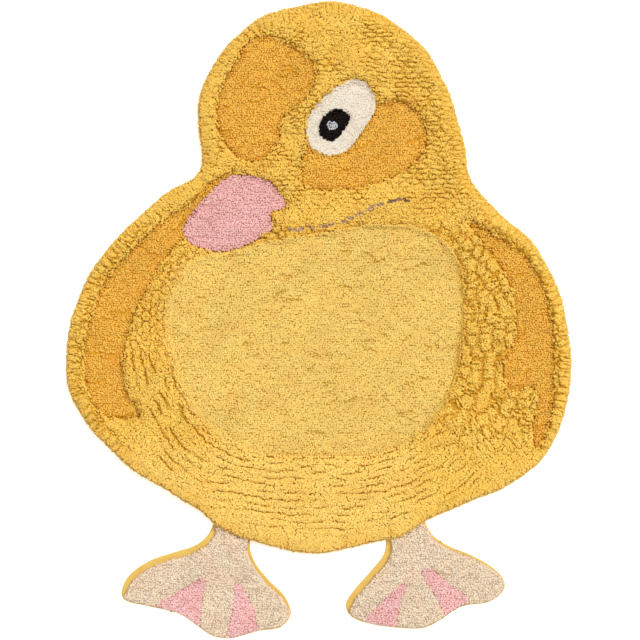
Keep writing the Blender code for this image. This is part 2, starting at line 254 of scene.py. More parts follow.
def soften(loop, times):
    """A closed loop with its small notches smoothed away."""
    for _ in range(times):
        loop = 0.5 * loop + 0.25 * (np.roll(loop, 1, axis=0) + np.roll(loop, -1, axis=0))
    return loop


def outward(loop):
    """Unit normals of an anticlockwise loop, pointing out of it."""
    along = np.roll(loop, -1, axis=0) - np.roll(loop, 1, axis=0)
    along /= np.linalg.norm(along, axis=1)[:, None]
    return np.stack([along[:, 1], -along[:, 0]], axis=1)


def nearest(points, line, closed=True):
    """Distance to a line, the vector to its nearest point, and that point's place along it."""
    ends = np.roll(line, -1, axis=0) if closed else line[1:]
    best = np.full(len(points), 9.0)
    way = np.zeros((len(points), 2))
    place = np.zeros(len(points))
    run = 0.0
    for a, b in zip(line, ends):
        edge = b - a
        size = math.sqrt(max(float(edge @ edge), 1e-14))
        t = np.clip((points - a) @ edge / size ** 2, 0.0, 1.0)
        gap = a + t[:, None] * edge - points
        length = np.linalg.norm(gap, axis=1)
        closer = length < best
        best[closer] = length[closer]
        way[closer] = gap[closer]
        place[closer] = run + t[closer] * size
        run += size
    return best, way, place


def inside(points, loop):
    """Which points lie inside a closed loop."""
    x, y = points[:, 0], points[:, 1]
    result = np.zeros(len(points), bool)
    for (ax, ay), (bx, by) in zip(loop, np.roll(loop, -1, axis=0)):
        if ay != by:
            result ^= ((ay > y) != (by > y)) & (x < (bx - ax) * (y - ay) / (by - ay) + ax)
    return result


def noise_at(x, y, layer):
    """Smooth noise from about -1 to 1, for features one unit wide."""
    return np.array([1.6 * noise.noise(Vector((a, b, layer))) for a, b in zip(x.tolist(), y.tolist())])


def soft_noise(points, size, layer):
    """Smooth noise from about -1 to 1 at points, for features of a size."""
    return noise_at(points[:, 0] / size, points[:, 1] / size, layer)


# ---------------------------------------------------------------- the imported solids

def cad_mesh(node):
    """Welded vertices and triangles of a CAD node."""
    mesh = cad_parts[node].data
    mesh.calc_loop_triangles()
    co = np.array([v.co for v in mesh.vertices])
    tris = np.array([t.vertices for t in mesh.loop_triangles])
    key = np.round(co * 1e6).astype(np.int64)
    _, first, back = np.unique(key, axis=0, return_index=True, return_inverse=True)
    tris = back.ravel()[tris]
    return co[first], tris


def face_normals(co, tris):
    """Unit normals of triangles."""
    normal = np.cross(co[tris[:, 1]] - co[tris[:, 0]], co[tris[:, 2]] - co[tris[:, 0]])
    return normal / np.maximum(np.linalg.norm(normal, axis=1), 1e-15)[:, None]


def top_loop(co, tris):
    """The outer border of a solid's top, anticlockwise."""
    cross = np.cross(co[tris[:, 1]] - co[tris[:, 0]], co[tris[:, 2]] - co[tris[:, 0]])
    size = np.linalg.norm(cross, axis=1)
    middle = co[:, 2].min() + 0.5 * (co[:, 2].max() - co[:, 2].min())
    sliver = (size < 1e-9) & (co[tris][:, :, 2].min(axis=1) > middle)
    up = (cross[:, 2] > 0.05 * size) | sliver
    directed = set()
    for a, b, c in tris[up].tolist():
        directed.update(((a, b), (b, c), (c, a)))
    after = {}
    for a, b in sorted(directed):
        if (b, a) not in directed:
            after.setdefault(a, []).append(b)
    loops = []
    while after:
        here = next(iter(after))
        loop = []
        while here in after:
            loop.append(here)
            ends = after[here]
            if len(ends) == 1:
                del after[here]
            here = ends.pop()
        loops.append(co[loop][:, :2])
    return max(loops, key=signed_area)


SOLIDS = {node: cad_mesh(node) for node in list(FIELDS) + ["backing_cloth"]}
NAMES = list(SOLIDS)
all_co, all_tris, owner, start = [], [], [], 0
for index, (co, tris) in enumerate(SOLIDS.values()):
    all_co.append(co)
    all_tris.append(tris + start)
    owner += [index] * len(tris)
    start += len(co)
TREE = BVHTree.FromPolygons(np.vstack(all_co).tolist(), np.vstack(all_tris).tolist())
EDGE = soften(even(top_loop(*SOLIDS["ground_pile"]), 3.0 * MM), 6)
FIELD_LOOPS = [even(top_loop(*SOLIDS[node]), 5.0 * MM) for node in list(FIELDS)[1:10]]
BEAK_LOOP = list(FIELDS).index("beak_pile") - 1
CLOTH_EDGE = even(top_loop(*SOLIDS["backing_cloth"]), 4.0 * MM)
BELLY_LINE = smooth_loop(BELLY, 6.0 * MM)
if signed_area(BELLY_LINE) < 0:
    BELLY_LINE = BELLY_LINE[::-1]


def drop(points):
    """Height of the solids under points, and which solid is there, or -1."""
    heights = np.zeros(len(points))
    found = np.full(len(points), -1)
    down = Vector((0.0, 0.0, -1.0))
    for i, (x, y) in enumerate(points.tolist()):
        hit = TREE.ray_cast(Vector((x, y, 0.1)), down)
        if hit[0] is not None:
            heights[i] = hit[0].z
            found[i] = owner[hit[2]]
    return heights, found


class Spot:
    """Where points lie on the rug: beside the belly's line, inside the edge, and in which region."""

    def __init__(self, points):
        x, y = points[:, 0], points[:, 1]
        gap, self.belly_way, self.belly_run = nearest(points, BELLY_LINE)
        self.beyond = np.where(inside(points, BELLY_LINE), -gap, gap)
        self.rim, self.out, self.rim_run = nearest(points, EDGE)
        self.out = self.out / np.maximum(self.rim, 1e-6)[:, None]
        self.high = 1.0 - ease(0.5 - self.beyond / (STEP[0] + STEP[1] * past(-x, 0.06, 0.10)))
        self.head = past(y, 0.13, 0.06)
        self.left = past(-x, 0.12, 0.08)
        self.calm = past(-y, 0.12, 0.08) * past(x, -0.24, 0.10)
        self.belly_top = past(y, 0.07, 0.05)
        self.uneven = 1.0 - 0.55 * self.head - 0.5 * self.calm
        lit = ease((0.7 * x + 0.7 * (y + 0.04)) / 0.08)
        self.shaded = lit * (1 - 0.75 * self.belly_top)


# ---------------------------------------------------------------- tufts

def tuft_mesh(centres, radii, twist, grain, wide):
    """Vertices, quads and triangles of tufts. centres is rings + tip by tufts by 3."""
    rings, count = len(centres) - 1, centres.shape[1]
    along = centres[-1] - centres[0]
    along /= np.linalg.norm(along, axis=1)[:, None]
    side = np.column_stack([grain, np.full(count, 0.05)])
    side -= np.sum(side * along, axis=1)[:, None] * along
    side /= np.linalg.norm(side, axis=1)[:, None]
    other = np.cross(along, side) / wide
    side = side * wide
    per = rings * SIDES + 1
    co = np.zeros((count, per, 3))
    for r in range(rings):
        for k in range(SIDES):
            angle = twist + 2 * math.pi * k / SIDES + 0.5 * r
            wobble = 1.0 + 0.22 * np.sin(3.1 * twist + 2.4 * k + 1.3 * r)
            reach = (radii[r] * wobble)[:, None]
            turn = np.cos(angle)[:, None] * side + np.sin(angle)[:, None] * other
            co[:, r * SIDES + k] = centres[r] + reach * turn
    co[:, -1] = centres[-1]
    base = (np.arange(count) * per)[:, None]
    quads, tris = [], []
    for k in range(SIDES):
        n = (k + 1) % SIDES
        for r in range(rings - 1):
            low, high = r * SIDES, (r + 1) * SIDES
            quads.append(base + np.array([[low + k, low + n, high + n, high + k]]))
        top = (rings - 1) * SIDES
        tris.append(base + np.array([[top + k, top + n, per - 1]]))
    return co.reshape(-1, 3), np.vstack(quads), np.vstack(tris), per


def tuft_uv(count, per, rings):
    """A map with each tuft in a cell of its own, seen from its tip, under the root mass's strip."""
    cells = math.ceil(math.sqrt(count))
    index = np.arange(count)
    middle = np.stack([(index % cells + 0.5), (index // cells + 0.5)], axis=1) / cells
    uv = np.repeat(middle[:, None, :], per, axis=1)
    for r in range(rings):
        reach = 0.44 * (rings - r) / rings / cells
        for k in range(SIDES):
            angle = 2 * math.pi * k / SIDES
            uv[:, r * SIDES + k] += reach * np.array([math.cos(angle), math.sin(angle)])
    return uv.reshape(-1, 2) * np.array([1.0, 0.98 - ROOT_STRIP])


def root_uv(count):
    """A map with each triangle of a root mass in a cell of its own, in the strip along the top."""
    columns = math.ceil(1.1 * math.sqrt(count / ROOT_STRIP))
    index = np.arange(count)
    corner = np.stack([index % columns, index // columns], axis=1)
    triangle = np.array([(0.1, 0.1), (0.9, 0.1), (0.1, 0.9)])
    return (corner[:, None, :] + triangle) / columns + np.array([0.0, 1.0 - ROOT_STRIP])


class Pile:
    """Collects the tufts and root mass of one piece."""

    def __init__(self):
        self.co, self.tone, self.colour, self.faces, self.uv = [], [], [], [], []
        self.size = 0

    def add(self, co, faces, tone, colour, uv):
        """Adds a part. uv has the corners' places for each array of faces."""
        self.co.append(co)
        self.tone.append(tone)
        self.colour.append(colour)
        self.uv += [places.reshape(-1, 2) for places in uv]
        self.faces += [f + self.size for f in faces]
        self.size += len(co)

    def tufts(self, tips, lean, length, radius, shade, lightness_with_painted_shade, yarn, grain=None, wide=1.0):
        """Tufts that end at tips. shade has three colour factors for each tuft; the lightness after it,
        painted shade with some random tone, mixes each tuft's colour from the tip's towards the painted
        shade colour deep in the pile.
        """
        count = len(tips)
        if not count:
            return
        centres = [tips - lean * (part * length)[:, None] for part, _ in RINGS]
        centres = np.array(centres + [tips])
        centres[:, :, 2] = np.maximum(centres[:, :, 2], ROOT_LEVEL)
        radii = [radius * width for _, width in RINGS]
        twist = RNG.uniform(0, 2 * math.pi, count)
        grain = np.tile([1.0, 0.0], (count, 1)) if grain is None else grain
        co, quads, tris, per = tuft_mesh(centres, radii, twist, grain, wide)
        # painted shade: down each tuft the colour mixes from the tip's towards the yarn's painted shade
        # colour
        tone = lightness_with_painted_shade[:, None] * np.array([*np.repeat(PAINTED_SHADE_STEPS[:-1], SIDES), PAINTED_SHADE_STEPS[-1]])
        tip_colour, painted_shade_colour = (np.array(c) for c in YARN_AND_PAINTED_SHADE[yarn])
        mix = tone.reshape(-1)[:, None]
        tint = np.repeat(shade, per, axis=0)
        colour = (painted_shade_colour + (tip_colour - painted_shade_colour) * mix) * tint
        uv = tuft_uv(count, per, len(RINGS))
        self.add(co, [quads, tris], tone.reshape(-1), colour, [uv[quads], uv[tris]])

    def roots(self, node, yarn, sink, draw):
        """The dense root mass under the tufts: the solid, its top sunk and its wall drawn in, coloured
        in painted shade.
        """
        co, tris = SOLIDS[node]
        normal = np.zeros_like(co)
        flat = face_normals(co, tris)
        for k in range(3):
            np.add.at(normal, tris[:, k], flat)
        normal /= np.maximum(np.linalg.norm(normal, axis=1), 1e-9)[:, None]
        low = co[:, 2].min()
        above = co[:, 2] - low
        depth = sink(co[:, :2]) if callable(sink) else sink
        height = low + np.maximum(above - depth, 0.25 * above)
        if callable(draw):
            draw = draw(co[:, :2])[:, None]
        moved = np.column_stack([co[:, :2] - normal[:, :2] * draw, height])
        tip_colour, painted_shade_colour = (np.array(c) for c in YARN_AND_PAINTED_SHADE[yarn])
        # painted shade: the root mass is a quarter of the way from the painted shade colour to the tip's
        colour = np.repeat((painted_shade_colour + 0.25 * (tip_colour - painted_shade_colour))[None, :], len(co), 0)
        self.add(moved, [tris], np.zeros(len(co)), colour, [root_uv(len(tris))])

    def build(self, name, material):
        """The mesh object of the collected parts."""
        co = np.vstack(self.co)
        mesh = bpy.data.meshes.new(name)
        mesh.vertices.add(len(co))
        mesh.vertices.foreach_set("co", co.astype(np.float32).ravel())
        sizes = np.concatenate([np.full(len(f), f.shape[1]) for f in self.faces])
        corners = np.concatenate([f.ravel() for f in self.faces])
        mesh.loops.add(len(corners))
        mesh.loops.foreach_set("vertex_index", corners.astype(np.int32))
        mesh.polygons.add(len(sizes))
        starts = np.concatenate([[0], np.cumsum(sizes)[:-1]])
        mesh.polygons.foreach_set("loop_start", starts.astype(np.int32))
        mesh.polygons.foreach_set("use_smooth", np.ones(len(sizes), bool))
        # the painted shade mix of each vertex, and below it the colour with that painted shade in it
        tone = mesh.attributes.new("tone", "FLOAT", "POINT")
        tone.data.foreach_set("value", np.concatenate(self.tone).astype(np.float32))
        colour = np.ones((len(co), 4), np.float32)
        colour[:, :3] = np.vstack(self.colour)
        paint = mesh.attributes.new("yarn", "FLOAT_COLOR", "POINT")
        paint.data.foreach_set("color", colour.ravel())
        uv = mesh.uv_layers.new(name="OFBake")
        uv.data.foreach_set("uv", np.vstack(self.uv).astype(np.float32).ravel())
        mesh.update()
        mesh.validate()
        mesh.materials.append(material)
        thing = bpy.data.objects.new(name, mesh)
        bpy.context.scene.collection.objects.link(thing)
        return thing


# ---------------------------------------------------------------- materials

def node_material(name):
    """A new material, its node tree and its shader's node."""
    material = bpy.data.materials.new(name)
    material.use_nodes = True
    return material, material.node_tree, material.node_tree.nodes["Principled BSDF"]


def set_inputs(node, **values):
    """Sets a node's inputs, named with _ for each space."""
    for key, value in values.items():
        node.inputs[key.replace("_", " ")].default_value = value


def add_node(tree, kind, feeds=(), settings=(), **values):
    """A node. feeds names the outputs that go into its inputs, values has its other inputs."""
    made = tree.nodes.new("ShaderNode" + kind)
    for key, value in dict(settings).items():
        setattr(made, key, value)
    set_inputs(made, **values)
    for key, output in dict(feeds).items():
        tree.links.new(output, made.inputs[key])
    return made


def finish_shader(tree, shader, colour, height, strength, depth):
    """Links a colour, and a bump of a strength and depth, into the shader."""
    tree.links.new(colour, shader.inputs["Base Color"])
    bump = add_node(tree, "Bump", {"Height": height}, Strength=strength, Distance=depth)
    tree.links.new(bump.outputs["Normal"], shader.inputs["Normal"])


def scaled(tree, colour, factor):
    """A colour times a factor."""
    feeds = {0: colour, "Scale": factor}
    return add_node(tree, "VectorMath", feeds, {"operation": "SCALE"}).outputs["Vector"]


def pile_material(name, sheen, tint):
    """Cotton pile: yarn colour with its painted shade from the tufts, fibre mottle and fine fuzz."""
    material, tree, shader = node_material(name)
    where = add_node(tree, "TexCoord").outputs["Object"]
    paint = add_node(tree, "Attribute", settings={"attribute_name": "yarn"}).outputs["Color"]
    fibre = add_node(tree, "TexNoise", {"Vector": where}, Scale=400.0, Detail=4.0, Roughness=0.75)
    fibre = fibre.outputs["Fac"]
    mottle = add_node(
        tree, "MapRange", {"Value": fibre},
        From_Min=0.3, From_Max=0.7, To_Min=1.0 - MOTTLE, To_Max=1.0 + MOTTLE,
    ).outputs["Result"]
    rough = add_node(tree, "MapRange", {"Value": fibre}, To_Min=0.82, To_Max=1.0)
    tree.links.new(rough.outputs["Result"], shader.inputs["Roughness"])
    finish_shader(tree, shader, scaled(tree, paint, mottle), fibre, 0.5, 1.0 * MM)
    set_inputs(
        shader, Sheen_Weight=sheen, Sheen_Roughness=0.5, Sheen_Tint=(*tint, 1), Specular_IOR_Level=0.12,
    )
    return material


def weave(tree, where):
    """The height of a plain weave: threads along X times threads along Y."""
    threads = [
        add_node(
            tree, "TexWave", {"Vector": where}, {"bands_direction": axis},
            Scale=210.0, Distortion=1.2, Detail=1.0, Detail_Scale=0.6,
        ).outputs["Fac"]
        for axis in ("X", "Y")
    ]
    return add_node(tree, "Math", dict(enumerate(threads)), {"operation": "MULTIPLY"}).outputs["Value"]


def cloth_material():
    """Plain woven cotton cloth, mustard, with painted shade in the weave's low spots."""
    material, tree, shader = node_material("backing_cloth_weave")
    where = add_node(tree, "TexCoord").outputs["Object"]
    height = weave(tree, where)
    slub = add_node(tree, "TexNoise", {"Vector": where}, Scale=45.0, Detail=4.0)
    ramp = add_node(tree, "ValToRGB", {"Fac": slub.outputs["Fac"]})
    stops = ((0.32, (0.76, 0.49, 0.115, 1)), (0.68, (0.84, 0.56, 0.150, 1)))
    for element, (place, colour) in zip(ramp.color_ramp.elements, stops):
        element.position = place
        element.color = colour
    # painted shade: the weave's low spots are darker
    shade = add_node(tree, "MapRange", {"Value": height}, To_Min=0.86, To_Max=1.06)
    colour = scaled(tree, ramp.outputs["Color"], shade.outputs["Result"])
    finish_shader(tree, shader, colour, height, 0.5, 0.3 * MM)
    set_inputs(shader, Roughness=0.9, Sheen_Weight=0.1, Specular_IOR_Level=0.15)
    return material


MATERIALS = {
    yarn: pile_material(yarn + "_cotton_pile", 0.0 if yarn == "black" else SHEEN, tip)
    for yarn, (tip, _) in YARN_AND_PAINTED_SHADE.items()
}


# ---------------------------------------------------------------- the pile's layout

def lattice(across, along, jitter, waver):
    """Uneven triangular lattice of tuft places over the rug."""
    low, high = np.array(CAD_BOX[0])[:2], np.array(CAD_BOX[1])[:2]
    rows = int((high[1] - low[1]) / along) + 1
    columns = int((high[0] - low[0]) / across) + 1
    r, c = np.meshgrid(np.arange(rows), np.arange(columns), indexing="ij")
    x = low[0] + (c + 0.5 * (r % 2)) * across
    y = low[1] + r * along
    points = np.stack([x.ravel(), y.ravel()], axis=1)
    points[:, 1] += waver * along * soft_noise(points, 11 * MM, 91.0)
    return points + RNG.uniform(-jitter, jitter, points.shape) * np.array([across, along])


def broken_lines(across, along, pitch, reach, share, layer):
    """Partings a pitch apart, broken into dashes: 1 on the line, 0 at REACH from it."""
    number = np.round(across / pitch)
    off = np.abs(across - number * pitch)
    there = ease(share + 1.1 * noise_at(along / reach, number * 5.3, layer))
    return there * np.clip(1.0 - off / REACH, 0.0, 1.0)


def cells(u, v, jitter, seed):
    """Uneven cells, one to a unit square: how far points are inside them, and the way to the middle."""
    low = np.array([math.floor(u.min()) - 2, math.floor(v.min()) - 2])
    count = np.array([u.max(), v.max()]).astype(int) + 3 - low
    r, c = np.meshgrid(np.arange(count[1]), np.arange(count[0]), indexing="ij")
    spots = np.stack([c.ravel(), r.ravel()], axis=1) + low
    shift = np.array([
        [noise.noise(Vector((7.3 * a, 5.9 * b, seed + k))) for k in (0.3, 40.7)]
        for a, b in spots.tolist()
    ])
    spots = spots + np.stack([0.5 * (spots[:, 1] % 2), np.full(len(spots), 0.5)], axis=1)
    spots = spots + np.clip(1.3 * shift, -1, 1) * np.array(jitter)
    tree = kdtree.KDTree(len(spots))
    for i, (x, y) in enumerate(spots.tolist()):
        tree.insert((x, y, 0.0), i)
    tree.balance()
    off = np.zeros(len(u))
    inward = np.zeros((len(u), 2))
    for i, (x, y) in enumerate(zip(u.tolist(), v.tolist())):
        first, second = tree.find_n((x, y, 0.0), 2)
        off[i] = 0.5 * (second[2] - first[2])
        inward[i] = first[0].x - x, first[0].y - y
    return off, inward


def cell_lines(kind, u, v):
    """Lines between the cells of a kind: 1 on the line, 0 at REACH from it."""
    wide, tall, size, jitter, seed = CELLS[kind]
    off, _ = cells(u / (wide * MM), v / (tall * MM), jitter, seed)
    return np.clip(1.0 - off * (size * MM) / REACH, 0.0, 1.0)


def partings(points):
    """Where the high pile parts, from 0 to 1 on a parting's line."""
    spot = Spot(points)
    x, y = points[:, 0], points[:, 1]
    head, left = spot.head, spot.left
    right = past(x, 0.12, 0.07)
    low = past(-y, 0.19, 0.05)
    lower = ease((-0.05 + 0.02 * left - y) / 0.04)
    temple = ease((x - 0.03 - 0.3 * (0.36 - y)) / 0.08)
    rim = ease((RIM_BAND - spot.rim) / (6 * MM))
    left_rim = rim * past(-x, 0.02, 0.10) * (1 - 0.4 * head) * (1 - 0.85 * low)
    side = np.maximum(right * (1 - head) * (1 - low), left_rim)
    warp = 2.8 * MM * soft_noise(points, 30 * MM, 41.0) + 1.1 * MM * soft_noise(points, 9 * MM, 43.0)
    beyond, across = spot.beyond + warp, spot.rim_run + warp

    # Rows along the belly's line
    rows = broken_lines(
        beyond * (1.0 - 0.2 * left), spot.belly_run, ROW_PITCH, 24 * MM, 0.66 + 0.2 * left, 3.0,
    )
    far = (75 + 60 * low) * MM
    share = (1 - head) * (1 - 0.8 * right * (1 - low)) * ease((far - spot.beyond) / (25 * MM))
    lines = share * (0.55 + 0.42 * lower - 0.12 * low) * (1 - 0.35 * rim * low) * rows

    # Partings out to the edge
    cross = broken_lines(across, spot.rim, LOCK_PITCH, 16 * MM, 0.60 + 0.25 * left_rim, 8.0)
    lines = np.maximum(lines, np.maximum(left_rim, 0.85 * rim * (1 - 0.7 * low)) * cross)

    # Lumps at the sides, on the head and along the rows
    bent = points + np.stack([warp, -warp], axis=1)
    knots = 0.95 * side * cell_lines("locks", across, spot.rim)
    crown = head * (1 - left_rim) * 0.9 * (1 - temple)
    knots = np.maximum(knots, crown * cell_lines("lumps", *bent.T))
    knots = np.maximum(knots, 0.95 * head * temple * cell_lines("slats", *bent.T))
    share = (0.88 - 0.45 * rim) * (1 - head) * (1 - side) * (1 - 0.65 * np.maximum(low, 0.8 * lower))
    knots = np.maximum(knots, share * cell_lines("beads", spot.belly_run, beyond))
    patchy = np.clip(0.7 + 0.6 * soft_noise(points, 24 * MM, 51.0) + 0.25 * head * temple, 0.1, 1.0)
    lines = np.maximum(lines, np.maximum(patchy, 0.8 * np.maximum(right, left)) * knots)
    return np.clip(lines, 0, 1) * ease(1.5 * spot.high)


def gathered(points):
    """The partings at points, and the way the pile leans off them, at most about 1 long."""
    line = partings(points)
    step = 0.4 * MM
    pull = [
        (line ** 2 - partings(points + np.array(way) * step) ** 2) / step
        for way in ((1.0, 0.0), (0.0, 1.0))
    ]
    pull = 0.5 * REACH * np.stack(pull, axis=1)
    return line, pull / np.maximum(1.0, np.linalg.norm(pull, axis=1))[:, None]


def creases(points, slope, count, seed):
    """Depth from 0 to 1 of short partings in a field, and the way the pile leans beside them."""
    draw = np.random.default_rng(seed)
    low, high = points.min(axis=0), points.max(axis=0)
    depth = np.zeros(len(points))
    away = np.zeros((len(points), 2))
    lines = [
        (draw.uniform(low, high), slope + draw.normal(0, 0.35), draw.uniform(*CREASE_HALF) * MM)
        for _ in range(count)
    ]
    lines += [(np.array([x, y]) * MM, angle, half * MM) for x, y, angle, half in FOLDS]
    for middle, angle, half in lines:
        along = np.array([math.cos(angle), math.sin(angle)])
        across = np.array([-along[1], along[0]])
        local = points - middle
        u = local @ along
        v = local @ across + 1.6 * MM * np.sin(u / (4.5 * MM) + middle[0] * 300)
        fade = ease((half - np.abs(u)) / (3 * MM))
        depth = np.maximum(depth, fade * ease(1.0 - np.abs(v) / CREASE_WIDTH))
        side = np.sign(v) * np.exp(-np.abs(v) / (4 * MM)) * fade
        away += side[:, None] * across
    return depth, away


def brink(points):
    """Nearness to a low field, from 0 to 1 at its border, and the way there."""
    best = np.full(len(points), 9.0)
    way = np.zeros((len(points), 2))
    for loop in FIELD_LOOPS:
        gap, to, _ = nearest(points, loop)
        closer = gap < best
        best[closer] = gap[closer]
        way[closer] = to[closer] / np.maximum(gap[closer], 1e-6)[:, None]
    return ease(1.0 - best / (8 * MM)), way


def settled(points, spot):
    """How far the high pile lies down beside the beak and the belly's top, in millimetres."""
    beak, _, _ = nearest(points, FIELD_LOOPS[BEAK_LOOP])
    flush = ease(1.0 - beak / (16 * MM)) * ease((0.21 - points[:, 1]) / 0.02)
    top = spot.belly_top * ease(1.0 - spot.beyond / (28 * MM))
    return 3.6 * np.maximum(flush, top) * spot.high


def clumps(points):
    """The gaps between clumps of tufts, from 0 to 1, and the way from each point into its clump."""
    bent = points + 1.6 * MM * soft_noise(points, 9 * MM, 44.0)[:, None]
    bent = bent / np.array(CLUMP)
    off, inward = cells(bent[:, 0], bent[:, 1], (0.55, 0.5), 83)
    held = 0.42 + 0.65 * soft_noise(points, 4.5 * MM, 45.0) + 0.3 * soft_noise(points, 20 * MM, 46.0)
    return np.clip(1.0 - 2.6 * off, 0.0, 1.0) * np.clip(held, 0.05, 1.0), inward * np.array(CLUMP)


def ground_depth(points, spot, line, gap, outer):
    """How deep the high pile's partings and gaps go, in millimetres."""
    head, calm = spot.head, spot.calm
    right = past(points[:, 0], 0.05, 0.09)
    stout = 1 - 0.5 * calm - 0.25 * head + 0.2 * right * (1 - head) - 0.1 * spot.left
    deep = PARTING_DEPTH * line ** 1.5 * (1 - 0.25 * outer) * stout
    deep = deep + (1.05 * spot.uneven - 0.2 * calm - 0.2 * head) * gap * (1 - 0.5 * outer)
    return np.minimum(deep, DEEPEST)


def ground_colour(points, spot, verge):
    """Three colour factors for each tuft of the high pile: random tone, painted light near the rug's
    edge and at the ring's bottom, and painted shade on the belly's step at the right.
    """
    count = len(points)
    x, y = points[:, 0], points[:, 1]
    shade = 1.0 + RNG.normal(0, 0.06, count) * spot.uneven + 0.04 * soft_noise(points, 60 * MM, 20.0)
    warm = 0.04 * soft_noise(points, 40 * MM, 23.0) + RNG.normal(0, 0.012, count)
    # painted light: within 16 mm of the rug's edge the tufts are lighter and less golden, more so at the
    # left, which faces away from the key light
    pale = ease(1.0 - spot.rim / (16 * MM))
    # painted light: the ring's bottom, but for its right end, is lighter and less golden
    painted_low_light = past(-y, 0.17, 0.06) * ease((0.20 - x) / 0.08)
    golden = spot.high * (1 - 0.6 * pale) * (1 - 0.7 * painted_low_light)
    # painted shade: more golden on the belly's step at the right, in the step's shadow
    warm = warm + 0.05 * golden + 0.05 * verge * past(x, 0.12, 0.08)
    shade = shade + (0.045 + 0.09 * ease(-10 * x - 1)) * pale + 0.04 * painted_low_light + 0.02 * spot.high
    return np.column_stack([shade, shade * (1 - warm), shade * (1 - 2.0 * warm - 0.22 * golden)])


def lay_ground(points, heights):
    """Tips, lean, length, radius, colour factors and lightness of the tufts of the high pile; the
    lightness is painted shade.
    """
    spot = Spot(points)
    count = len(points)
    line, pull = gathered(points)
    gap, inward = clumps(points)
    over, way = brink(points)
    over = over * spot.high * ease(spot.rim / (12 * MM))
    outer = ease(1.0 - spot.rim / RIM_BAND)
    verge = 4.0 * spot.high * (1 - spot.high)
    edging = soft_noise(points, 10 * MM, 58.0)
    swell = 0.6 * soft_noise(points, 9 * MM, 53.0) + 0.8 * soft_noise(points, 24 * MM, 55.0)
    swell = swell * spot.high * (1 - 0.5 * outer) * (1 - 0.6 * spot.calm)
    swell = swell + 2.2 * verge * soft_noise(points, 12 * MM, 56.0)
    deep = ground_depth(points, spot, line, gap, outer)
    rise = 1.2 + swell - deep - over * (0.9 - 1.5 * edging) - settled(points, spot)
    rise = rise + RNG.normal(0, 0.42, count) * spot.uneven
    hang = 3.6 * MM * over * np.clip(0.3 + 1.3 * edging, -0.7, 1.3)
    to_belly = spot.belly_way / np.maximum(np.linalg.norm(spot.belly_way, axis=1), 1e-6)[:, None]
    lap = 3.4 * MM * verge * spot.high * np.clip(0.2 + 1.3 * edging, -0.8, 1.3)
    to_belly = to_belly * lap[:, None]
    moved = points + PARTED * pull + 0.13 * inward + hang[:, None] * way + to_belly
    tips = np.column_stack([moved, heights + rise * MM])
    turn = np.column_stack([soft_noise(points, 11 * MM, 12.0), soft_noise(points, 11 * MM, 14.0)])
    flat = 0.28 * pull + 45.0 * inward + 0.12 * turn + RNG.normal(0, 0.13, (count, 2))
    laid = 1.5 * (1.0 - 0.5 * spot.calm) * outer * outer
    flat = flat + 0.5 * over[:, None] * way + spot.out * laid[:, None]
    lean = unit(np.column_stack([flat, 1.0 - 0.55 * outer]))
    radius = 2.3 * MM * RNG.uniform(0.9, 1.1, count) * (1 - 0.12 * line)
    colour = ground_colour(points, spot, verge)
    # painted shade: tufts sunk in partings and gaps are darker, and so are patches of the belly's step
    # on the key light's side, in the step's shadow
    patch = np.clip(0.5 + 0.9 * soft_noise(points, 14 * MM, 59.0), 0.0, 1.0)
    lightness_with_painted_shade = ease(1.0 - deep / 6.0) * (1 - 0.55 * verge * spot.shaded * patch)
    return tips, lean, np.full(count, TUFT_LENGTH), radius, colour, lightness_with_painted_shade


def lay_field(points, heights, marks, wave, rough=1.0, border=None):
    """The same for a low sheared field. marks has its creases' angle, number and seed."""
    count = len(points)
    part, away = creases(points, *marks)
    part = part * (0.3 + 0.7 * rough)
    small = 0.35 * soft_noise(points, 6 * MM, 5.0) + wave * soft_noise(points, 14 * MM, 6.0)
    ripple = 0.2 * soft_noise(points * np.array([0.45, 1.0]), 3.2 * MM, 7.0)
    rise = MM * rough * (small + ripple + RNG.normal(0, 0.32, count)) - CREASE_DEPTH * part
    beside = 0.0
    if border is not None:
        gap, _, _ = nearest(points, border)
        rise = rise + BORDER_RISE * ease(1.0 - gap / (7 * MM))
        # painted shade: beside its border the field is darker, where the higher pile next to it shades
        # it
        beside = 0.4 * ease(1.0 - gap / (8 * MM)) * rough
    tips = np.column_stack([points + 1.1 * rough * MM * away, heights + rise])
    turn = np.column_stack([soft_noise(points, 10 * MM, 12.0), soft_noise(points, 10 * MM, 14.0)])
    flat = 0.16 * turn + RNG.normal(0, 0.18 * rough, (count, 2))
    flat = flat + 0.45 * away + rough * np.array([0.05, -0.35])
    lean = unit(np.column_stack([flat, np.ones(count)]))
    length = np.full(count, (3.6 + 1.9 * rough) * MM)
    radius = (2.6 - 0.70 * rough) * MM * RNG.uniform(0.88, 1.12, count)
    shade = 1.0 + RNG.normal(0, 0.06 * rough, count) + 0.04 * soft_noise(points, 60 * MM, 20.0)
    shade = shade + 0.022 * soft_noise(points, 24 * MM, 21.0)
    # painted light and shade: the belly's patches of brushed pile
    for (x, y, size), much in PAINTED_NAP_PATCHES:
        reach = np.linalg.norm(points - np.array([x, y]) * MM, axis=1)
        shade = shade + much * ease(1.0 - reach / (size * MM))
    beside = beside + 0.15 * rough * RNG.random(count) ** 2
    # painted shade: darker in the creases and in the dips of the ripples
    lightness_with_painted_shade = ease(1.0 - part - 0.15 * rough * np.clip(-small - 2 * ripple, 0.0, 1.0))
    warm = 0.04 * soft_noise(points, 30 * MM, 23.0) + RNG.normal(0, 0.012, count)
    colour = np.column_stack([shade, shade * (1 - warm), shade * (1 - 1.6 * warm)])
    return tips, lean, length, radius, colour, (1.0 - beside) * lightness_with_painted_shade


